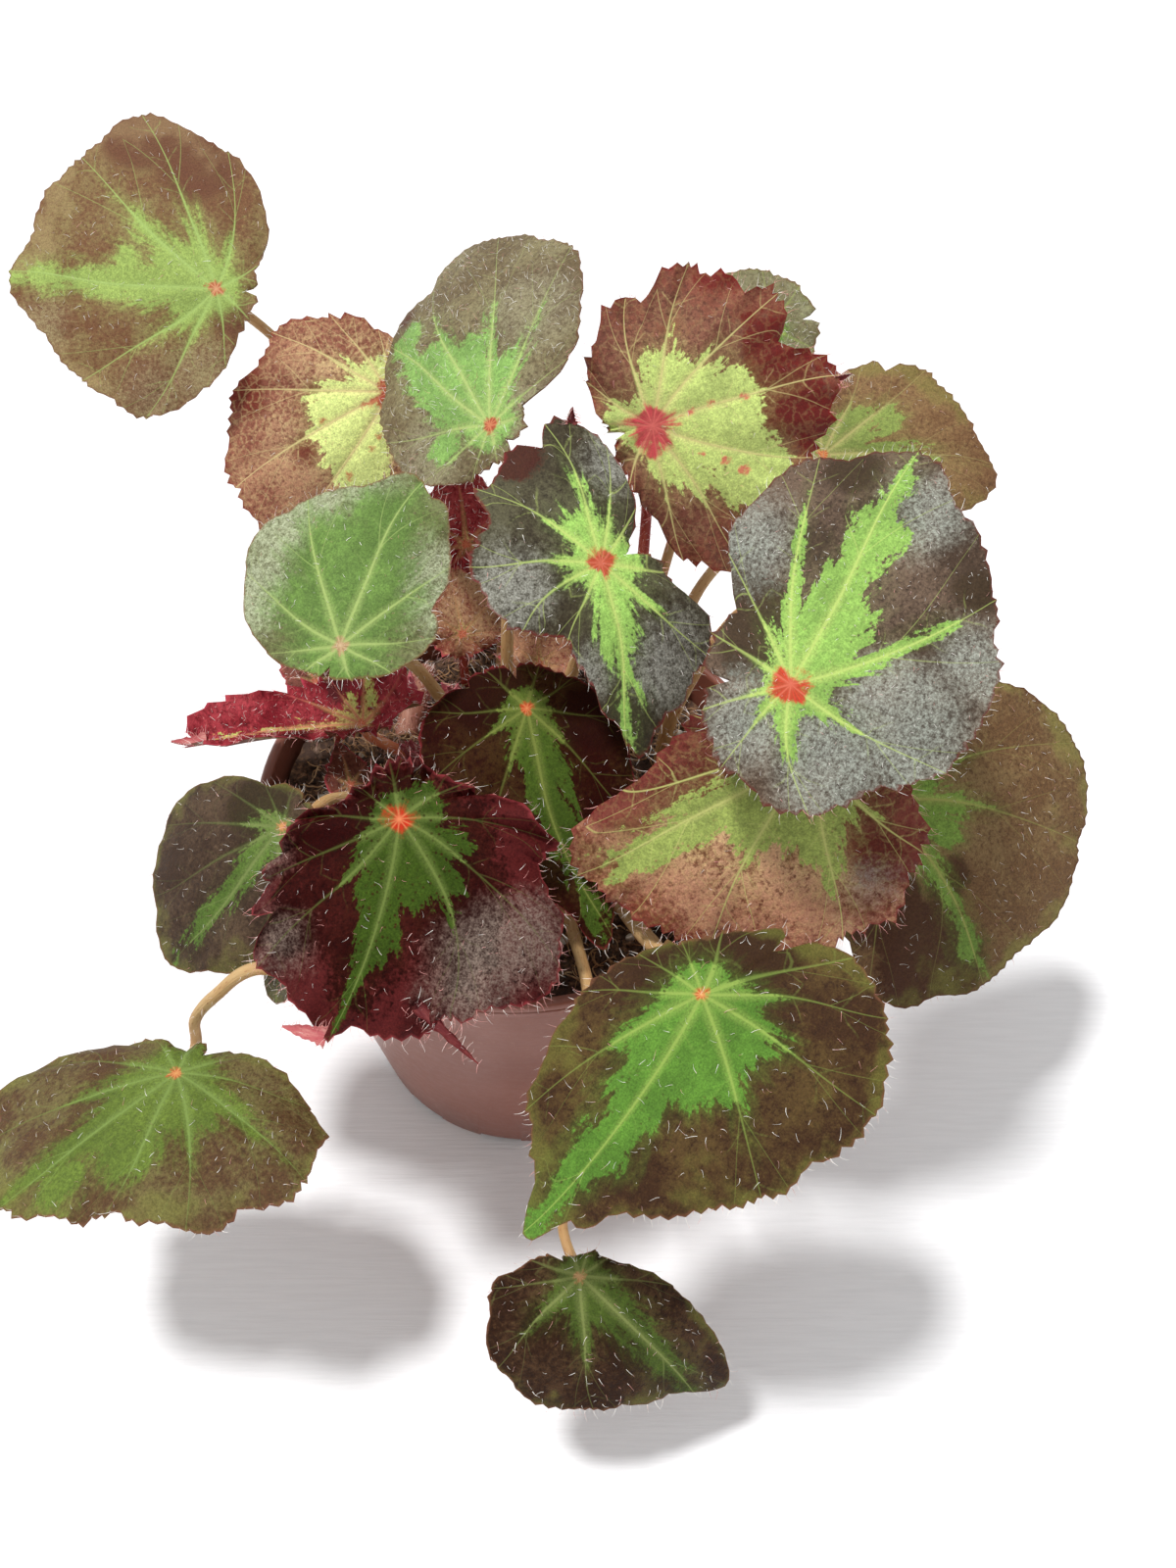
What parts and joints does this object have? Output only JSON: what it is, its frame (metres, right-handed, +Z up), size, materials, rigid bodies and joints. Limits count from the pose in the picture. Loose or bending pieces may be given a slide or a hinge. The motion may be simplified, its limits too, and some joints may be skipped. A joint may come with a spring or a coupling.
{
  "type": "potted begonia",
  "caption": "House plant with round, patterned, hairy leaves on slender stalks, rooted in soil in a small tapered round pot.",
  "frame": {"origin": "centre of the pot's underside, on the surface that the pot stands on", "axes": "+Z up along the pot's axis, -Y towards the plant's front as the picture shows it, +X to the right in that view"},
  "size_m": [0.2611, 0.2568, 0.182],
  "materials": {
    "pot": "satin",
    "soil": "matte",
    "rhizome": "matte",
    "leaf_olive": "satin",
    "leaf_russet": "satin",
    "leaf_slate": "satin",
    "leaf_green": "satin",
    "leaf_dark": "satin",
    "leaf_red": "satin",
    "stalk_tan": "satin",
    "stalk_red": "satin"
  },
  "bodies": {
    "root": {"pot": "pot", "soil": "soil", "rhizome": "rhizome", "leaf_far_left": "leaf_olive", "leaf_rear_left": "leaf_russet", "leaf_upper_left": "leaf_slate", "leaf_sage": "leaf_green", "leaf_centre": "leaf_slate", "leaf_upper_right": "leaf_russet", "leaf_rear_right": "leaf_olive", "leaf_big_right": "leaf_slate", "leaf_right": "leaf_dark", "leaf_ruffled_right": "leaf_russet", "leaf_front_right": "leaf_olive", "leaf_front_low": "leaf_dark", "leaf_left_low": "leaf_olive", "leaf_left_grey": "leaf_slate", "leaf_front_left": "leaf_dark", "leaf_heart": "leaf_dark", "leaf_folded_red": "leaf_red", "leaf_far_behind": "leaf_olive", "leaf_grey_tip": "leaf_slate", "leaf_young_tall": "leaf_red", "leaf_young_mid": "leaf_red", "leaf_young_heart": "leaf_red", "leaf_young_left": "leaf_russet", "leaf_young_rear": "leaf_russet", "stalk_far_left": "stalk_tan", "stalk_rear_left": "stalk_tan", "stalk_upper_left": "stalk_tan", "stalk_sage": "stalk_tan", "stalk_centre": "stalk_tan", "stalk_upper_right": "stalk_red", "stalk_rear_right": "stalk_tan", "stalk_big_right": "stalk_tan", "stalk_right": "stalk_tan", "stalk_ruffled_right": "stalk_tan", "stalk_front_right": "stalk_tan", "stalk_front_low": "stalk_tan", "stalk_left_low": "stalk_tan", "stalk_left_grey": "stalk_tan", "stalk_front_left": "stalk_tan", "stalk_heart": "stalk_tan", "stalk_folded_red": "stalk_red", "stalk_far_behind": "stalk_tan", "stalk_grey_tip": "stalk_tan", "stalk_young_tall": "stalk_red", "stalk_young_mid": "stalk_red", "stalk_young_heart": "stalk_red", "stalk_young_left": "stalk_red", "stalk_young_rear": "stalk_red"}
  },
  "joints": []
}
